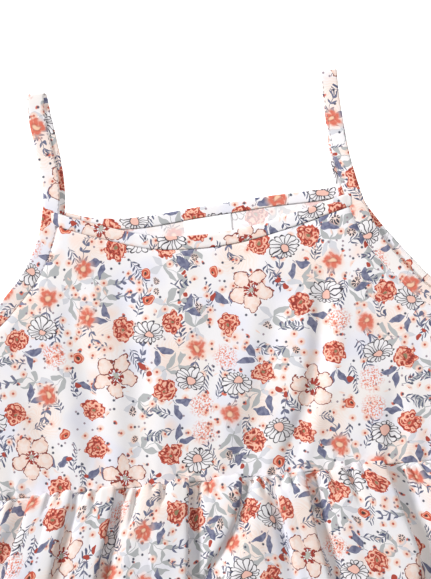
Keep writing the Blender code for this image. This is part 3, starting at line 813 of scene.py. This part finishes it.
def sewing_thread():
    """Spun polyester sewing thread, dull; its colour, darker than the cloth, is partly the thread's own and
    partly painted shade of the dark seam line along the bindings.
    """
    made, tree, shader = surface("sewing_thread", {"Roughness": 0.7})
    place = add(tree, "TexCoord", out=3)
    twist = add(tree, "TexNoise", place, 900.0, 1.0, 0.5, noise_dimensions="3D", out=0)
    # These two greys are partly the thread's own colour and partly painted shade, standing for the shaded
    # seam line beside the bindings.
    colour = add(tree, "Mix", twist, linear("#85777B"), linear("#A89B9C"), data_type="RGBA")
    tree.links.new(colour, shader.inputs["Base Color"])
    return made


def in_scene(name, mesh, made_of):
    """The mesh as a smooth object of one material."""
    mesh.shade_smooth()
    mesh.materials.append(made_of)
    piece = bpy.data.objects.new(name, mesh)
    bpy.context.scene.collection.objects.link(piece)
    return piece


def cloth(name, points, flat, made_of, thickness=SHEET, side=1.0):
    """One sheet from grid points and their flat cloth places, both in millimetres, with a thin wall."""
    rows, columns = points.shape[:2]
    index = np.arange(rows * columns).reshape(rows, columns)
    faces = np.stack([index[:-1, :-1], index[:-1, 1:], index[1:, 1:], index[1:, :-1]], axis=-1).reshape(-1, 4)
    placed = points.reshape(-1, 3) * MM + (WAIST_X, WAIST_Y, 0.0)
    mesh = bpy.data.meshes.new(name)
    mesh.from_pydata(placed.tolist(), [], faces.tolist())
    layer = mesh.uv_layers.new(name="Cloth")
    corners = np.empty(len(mesh.loops), np.int32)
    mesh.loops.foreach_get("vertex_index", corners)
    cut_places = flat.reshape(-1, 2) + CUT_FROM.get(name, (0.0, 0.0))
    layer.data.foreach_set("uv", (cut_places[corners] * MM).astype(np.float32).ravel())
    piece = in_scene(name, mesh, made_of)
    wall = piece.modifiers.new("cloth", "SOLIDIFY")
    wall.thickness = thickness * MM
    wall.offset = side
    return piece


def laid(u, v, z):
    """Grid points from three arrays, with a plain number allowed for the height."""
    return np.stack([u, v, np.broadcast_to(z, u.shape)], axis=-1)


def face_of(u, v):
    """Flat cloth places of a panel that isn't gathered."""
    return np.stack([u, v], axis=-1)


def nearness(u, v, layer):
    """Distance from each point to the middle of the nearer binding."""
    lines = np.vstack([smooth_line(STRAP_LINES[name][layer], SEAM_STEP) for name in STRAP_LINES])
    flat = np.stack([u.ravel(), v.ravel()], axis=1)
    best = np.full(len(flat), 1e9)
    for u0, v0 in lines:
        best = np.minimum(best, (flat[:, 0] - u0) ** 2 + (flat[:, 1] - v0) ** 2)
    return np.sqrt(best).reshape(u.shape)


def bodice_front(made_of):
    """The front panel, puckered along the waist and pressed down at its side seams, bindings and neck."""
    u, v = bodice_grid(top_edge("front", FRONT_NECK), BODICE_COLUMNS, BODICE_ROWS)
    pucker = 0.8 * np.exp(-v / 8.0) * ripple(u, v * 0.2, 8.5, 7.0)
    soft = 0.5 * ripple(u, v * 0.4, 45.0, 1.0) + 0.2 * ripple(u, v * 0.5, 20.0, 5.0)
    z = front_height(u, v) + SHEET_RISE + pucker + soft * smoothstep(0.0, 20.0, v)
    z = z - 0.9 * smoothstep(CHEST_HALF - 4.0, CHEST_HALF, np.abs(u) / side_half(v) * CHEST_HALF)
    beside = nearness(u, v, "front") - STRAP_WIDTH / 2
    z = z - (z - 1.6) * 0.75 * np.exp(-np.maximum(beside + 0.6, 0.0) / 1.8)
    z = z - 1.5 * np.exp(-v / 2.2)
    neck = smooth_line(FRONT_NECK, SEAM_STEP)
    below = np.interp(u, neck[:, 0], neck[:, 1]) - v
    z = z - 0.55 * np.exp(-np.maximum(below, 0.0) / 1.3) * (np.abs(u) < FRONT_NECK[-1].u)
    return cloth("bodice_front_cloth", laid(u, v, z), face_of(u, v), made_of)


def bodice_back(made_of):
    """The back panel, nearly flat on the surface, its wrong side up."""
    u, v = bodice_grid(top_edge("back", BACK_NECK), BODICE_BACK_COLUMNS, BODICE_BACK_ROWS)
    z = 0.1 + 0.12 * (1.0 + ripple(u, v, 40.0, 8.0))
    return cloth("bodice_back_cloth", laid(u, v, z), face_of(u, v), made_of)


def skirt_cloth_places(points, across, down):
    """Flat cloth places of the gathered skirt. What the waist takes in is hidden in the folds' valleys."""
    hidden = np.full(across.shape, 0.03)
    for pleat, off, strength in pleat_lines(across, down):
        hidden += pleat.depth / 4.0 * strength * np.exp(-(((off - 0.6) / 1.5) ** 2))
    step = np.linalg.norm(np.diff(points, axis=1), axis=2)
    share = (hidden[:, 1:] + hidden[:, :-1]) / 2.0 * step
    wide = CUTS["skirt_front"].width / MM
    spare = np.maximum(wide - step.sum(axis=1), 0.0) / share.sum(axis=1)
    run = np.cumsum(step + share * spare[:, None], axis=1)
    run = np.concatenate([np.zeros((len(points), 1)), run], axis=1)
    return np.stack([run - run[:, -1:] / 2.0, -down], axis=-1)


def skirt_columns(count):
    """Places across the skirt for the mesh's columns, closer together at the folds."""
    fine = np.linspace(-1.0, 1.0, 4001)
    need = np.full(fine.shape, 1.0)
    for pleat in SKIRT_PLEATS:
        if pleat.start == 0:
            need += 1.2 * np.exp(-(((fine * WAIST_HALF - pleat.at + 0.5) / 4.0) ** 2))
    run = np.concatenate([[0.0], np.cumsum((need[1:] + need[:-1]) / 2.0)])
    return np.interp(np.linspace(0.0, run[-1], count), run, fine)


def skirt_place(across, down):
    """Where the skirt front lies, its puffs leaning over the seam and its folds over their valleys."""
    z = skirt_height(across, down)
    high = np.clip((z - 1.8) / 5.0, 0.0, 1.3)
    over = 5.0 * high**1.4 * (1.0 - np.exp(-((down / 1.5) ** 2))) * np.exp(-down / 60.0)
    lean = np.zeros_like(z)
    for pleat, off, strength in pleat_lines(across, down):
        side = np.clip((pleat.right - pleat.left) / 6.0, -1.0, 1.0)
        lean += 0.95 * side * strength * np.exp(-((off / 5.0) ** 2))
    u = across * skirt_half(down) + lean * (z - 3.0) * edge_fade(across)
    v = skirt_fall(across, down) + over
    z = z + SHEET_RISE - 0.8 * smoothstep(0.985, 1.0, np.abs(across))
    above_hem = SKIRT_LENGTH - HEM_DEPTH - down
    z = z + 0.3 * smoothstep(0.5, -1.5, above_hem) - 0.35 * np.exp(-((above_hem / 0.9) ** 2))
    return laid(u, v, z)


def skirt_front(made_of):
    """The front panel of the skirt, its mesh finest in the gathers at the waist and at the hem's step."""
    finest = 7.0
    rows = finest * np.linspace(0.0, 1.0, SKIRT_SEAM_ROWS + 1) ** 1.2
    below = finest + (SKIRT_LENGTH - finest) * np.linspace(0.0, 1.0, SKIRT_ROWS + 1)[1:] ** 1.25
    rows = np.concatenate([rows, below])
    rows = rows[np.abs(rows - SKIRT_LENGTH + HEM_DEPTH) > 3.0]
    rows = np.sort(np.concatenate([rows, SKIRT_LENGTH - HEM_DEPTH + np.linspace(-2.4, 2.4, 7)]))
    across, down = np.meshgrid(skirt_columns(SKIRT_COLUMNS + 1), rows)
    points = skirt_place(across, down)
    flat = skirt_cloth_places(points, across, down)
    return cloth("skirt_front_cloth", points[::-1], flat[::-1], made_of)


def skirt_back(made_of):
    """The back panel of the skirt, flat on the surface but for a few waves."""
    rows = np.linspace(0.0, 1.0, SKIRT_BACK_ROWS + 1) ** 1.3 * SKIRT_LENGTH
    across, down = np.meshgrid(np.linspace(-1.0, 1.0, SKIRT_BACK_COLUMNS + 1), rows)
    z = back_wave(across, down) + 0.15
    points = laid(across * skirt_half(down), skirt_fall(across, down), z)
    flat = skirt_cloth_places(points, across, down)
    return cloth("skirt_back_cloth", points[::-1], flat[::-1], made_of)


def strap_height(v):
    """Height of the middle of a strap's front layer: over the back layer, and a little higher at the neck."""
    rise = smoothstep(110.0, 160.0, v) * (1.0 - smoothstep(180.0, 225.0, v))
    settled = smoothstep(185.0, 200.0, v) * (1.0 - smoothstep(244.0, 256.0, v))
    return STRAP_CLOTH * 1.5 + LAYER_GAP + NECK_LIFT * rise - 0.6 * settled


def strap(name, made_of):
    """One strip: front binding and strap, the fold at the shoulder, back strap and binding."""
    front = smooth_line(STRAP_LINES[name]["front"], STRAP_STEP)[::-1]
    back = smooth_line(STRAP_LINES[name]["back"], STRAP_STEP)
    radius = (STRAP_CLOTH + LAYER_GAP) / 2
    turn = np.linspace(0.0, math.pi, 15)[1:-1]
    share = (1.0 - np.cos(turn)) / 2
    fold = front[-1] + (back[0] - front[-1]) * share[:, None]
    fold[:, 1] += radius * np.sin(turn)
    fold_height = STRAP_CLOTH / 2 + radius * (1.0 + np.cos(turn))
    height = np.concatenate([strap_height(front[:, 1]), fold_height, np.full(len(back), STRAP_CLOTH / 2)])
    across = np.vstack([sideways(front), np.tile(sideways(front)[-1], (len(fold), 1)), -sideways(back)])
    across[[0, -1]] = np.sign(across[[0, -1], 1:]) * (0.0, 1.0)
    line = np.vstack([front, fold, back])
    run = run_along(line)
    rows = []
    flat = []
    for edge in np.linspace(-0.5, 0.5, 11):
        round_off = 0.35 * (1.0 - (2.0 * abs(edge)) ** 4)
        rows.append(np.column_stack([line + across * STRAP_WIDTH * edge, height - 0.2 + round_off]))
        flat.append(np.column_stack([np.full(len(run), edge * STRAP_WIDTH), run]))
    return cloth(name + "_cloth", np.stack(rows), np.stack(flat), made_of, STRAP_SHEET, 0.0)


def neck_band_front(made_of):
    """The strip that binds the front neck, its ends under the bindings, its lower edge over the panel."""
    seam = smooth_line(FRONT_BAND_LINE, BAND_STEP)
    share = np.linspace(0.0, 1.0, 13)[:, None]
    v = seam[:, 1] + (FRONT_BAND_HEIGHT + SEAM_GAP) * share
    u = np.broadcast_to(seam[:, 0], v.shape)
    z = front_height(u, v) + SHEET_RISE + 0.5 - 0.5 * (2.0 * share - 1.0) ** 6 + 0.2 * ripple(u, v, 16.0, 9.0)
    z = z - 1.6 * (1.0 - smoothstep(0.0, 7.0, u - seam[0, 0]))
    z = z - 1.4 * smoothstep(0.0, 7.0, u - seam[-1, 0] + 7.0)
    return cloth("neck_band_front_cloth", laid(u, v, z), face_of(u, v), made_of)


def band_seam(u):
    """Lower edge of the back neck band."""
    neck = smooth_line(BACK_NECK, SEAM_STEP)
    return np.interp(u, neck[:, 0], neck[:, 1]) - BAND_HEIGHT


def neck_band_back(made_of):
    """The facing strip inside the back neck, a little raised off the panel it is sewn to."""
    top = smooth_line(BACK_BAND_LINE, BAND_STEP)
    share = np.linspace(0.0, 1.0, 9)[:, None]
    v = top[:, 1] - BAND_HEIGHT * (1.0 - share)
    u = np.broadcast_to(top[:, 0], v.shape)
    z = 0.85 + 0.3 * (1.0 - (2.0 * share - 1.0) ** 4) + 0.12 * ripple(u, v, 14.0, 3.0)
    return cloth("neck_band_back_cloth", laid(u, v, z), face_of(u, v), made_of)


def label(made_of):
    """The bare label, hanging from the back band's seam."""
    u = np.linspace(LABEL_LEFT, LABEL_LEFT + LABEL_WIDTH, 41)
    top = band_seam(u) - SEAM_GAP
    share = np.linspace(0.0, 1.0, 17)[:, None]
    v = LABEL_FOOT + (top - LABEL_FOOT) * share
    u = np.broadcast_to(u, v.shape)
    z = 0.95 + 0.05 * ripple(u, v, 30.0, 2.0)
    return cloth("label_ribbon", laid(u, v, z), face_of(u, v), made_of, RIBBON)


def stitches(name, line, made_of):
    """A row of machine stitches laid along a line of places in millimetres."""
    run = run_along(line)
    row = bmesh.new()
    for start in np.arange(STITCH_GAP, run[-1] - STITCH, STITCH + STITCH_GAP):
        ends = [Vector([np.interp(at, run, line[:, k]) for k in range(3)]) for at in (start, start + STITCH)]
        along = ends[1] - ends[0]
        size = Matrix.Diagonal((along.length, THREAD, THREAD * 0.7, 1.0))
        turn = along.to_track_quat("X", "Z").to_matrix().to_4x4()
        middle = Matrix.Translation((ends[0] + ends[1]) / 2.0)
        bmesh.ops.create_cube(row, size=1.0, matrix=middle @ turn @ size)
    place = Matrix.Translation((WAIST_X, WAIST_Y, 0.0)) @ Matrix.Scale(MM, 4)
    bmesh.ops.transform(row, matrix=place, verts=row.verts)
    mesh = bpy.data.meshes.new(name)
    row.to_mesh(mesh)
    row.free()
    piece = in_scene(name, mesh, made_of)
    piece.modifiers.new("round", "SUBSURF").render_levels = 1
    return piece


def binding_stitches(name, made_of):
    """The row that holds a binding's inner edge and runs on up the strap."""
    line = smooth_line(STRAP_LINES[name]["front"], STRAP_STEP)
    flat = line - INWARD[name] * sideways(line) * SEWING_INSET
    z = strap_height(line[:, 1]) + 0.44
    return stitches(name + "_stitches", np.column_stack([flat, z])[3:-2], made_of)


def hem_stitches(made_of):
    """The row that holds the hem's turning."""
    across = np.linspace(-0.985, 0.985, 700)[None, :]
    line = skirt_place(across, np.full(across.shape, SKIRT_LENGTH - HEM_DEPTH))[0]
    return stitches("hem_stitches", line + (0.0, 0.0, SHEET + 0.1), made_of)


# The camera's view, from the photograph: its middle on the dress, its height there, and the dress's turn
VIEW_MIDDLE = Point(6.5, 122.8)
VIEW_HEIGHT = 373.5
DRESS_TURN = 5.3
CAMERA_HEIGHT = 1.5
SENSOR = 36.0


def camera():
    """Straight down from above, as the dress was photographed."""
    lens = bpy.data.cameras.new("camera")
    lens.sensor_width = SENSOR
    lens.lens = SENSOR * CAMERA_HEIGHT / (VIEW_HEIGHT * MM)
    seen = bpy.data.objects.new("camera", lens)
    bpy.context.scene.collection.objects.link(seen)
    seen.location = (WAIST_X + VIEW_MIDDLE.u * MM, WAIST_Y + VIEW_MIDDLE.v * MM, CAMERA_HEIGHT)
    seen.rotation_euler = (0.0, 0.0, -math.radians(DRESS_TURN))
    bpy.context.scene.camera = seen


def soft_light(name, place, size, power):
    """One square soft box, aimed at the middle of the dress."""
    light = bpy.data.lights.new(name, "AREA")
    light.size = size
    light.energy = power
    lamp = bpy.data.objects.new(name, light)
    bpy.context.scene.collection.objects.link(lamp)
    lamp.location = place
    lamp.rotation_euler = (-lamp.location).to_track_quat("-Z", "Y").to_euler()


def studio():
    """A white floor, a low soft light from the left for the folds, one above, and a pale room round it."""
    bpy.ops.mesh.primitive_plane_add(size=8.0, location=(0.0, 0.0, -0.4 * MM))
    floor = bpy.context.object
    floor.name = "floor"
    # Matt paper that also glows a little, so that it shows as white as in the photograph
    looks = {
        "Base Color": linear("#FDFDFD"),
        "Roughness": 0.9,
        "Specular IOR Level": 0.1,
        "Emission Color": linear("#FFFFFF"),
        "Emission Strength": 0.7,
    }
    floor.data.materials.append(surface("white_paper", looks)[0])
    world = bpy.data.worlds.new("room")
    world.use_nodes = True
    sky = world.node_tree.nodes["Background"]
    sky.inputs["Color"].default_value = linear("#FFFFFF")
    sky.inputs["Strength"].default_value = 0.14
    bpy.context.scene.world = world
    soft_light("key", (-5.6, 1.8, 3.5), 1.4, 440.0)
    soft_light("top", (0.28, 0.62, 0.74), 0.5, 4.7)
    bpy.context.scene.view_settings.view_transform = "Standard"


def main():
    """Makes every piece, hides the solid that it stands for, and sets the studio round it."""
    flowers = flower_print()
    face = printed_cotton("printed_cotton_face", flowers, 0.0, 0.85)
    inside = printed_cotton("printed_cotton_inside", flowers, 0.55, 0.9)
    pieces = {
        "bodice_front": bodice_front(face),
        "bodice_back": bodice_back(inside),
        "skirt_front": skirt_front(face),
        "skirt_back": skirt_back(inside),
        "neck_band_back": neck_band_back(face),
        "neck_band_front": neck_band_front(face),
        "label": label(satin_ribbon()),
        "strap_left": strap("strap_left", face),
        "strap_right": strap("strap_right", face),
    }
    for node, piece in pieces.items():
        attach(piece, "root")
        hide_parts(node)
    # Each row of stitches is listed under the piece that it is sewn into
    thread = sewing_thread()
    sewing = {name: binding_stitches(name, thread) for name in STRAP_LINES}
    sewing["skirt_front"] = hem_stitches(thread)
    for node, row in sewing.items():
        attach(row, "root")
    studio()
    camera()


main()
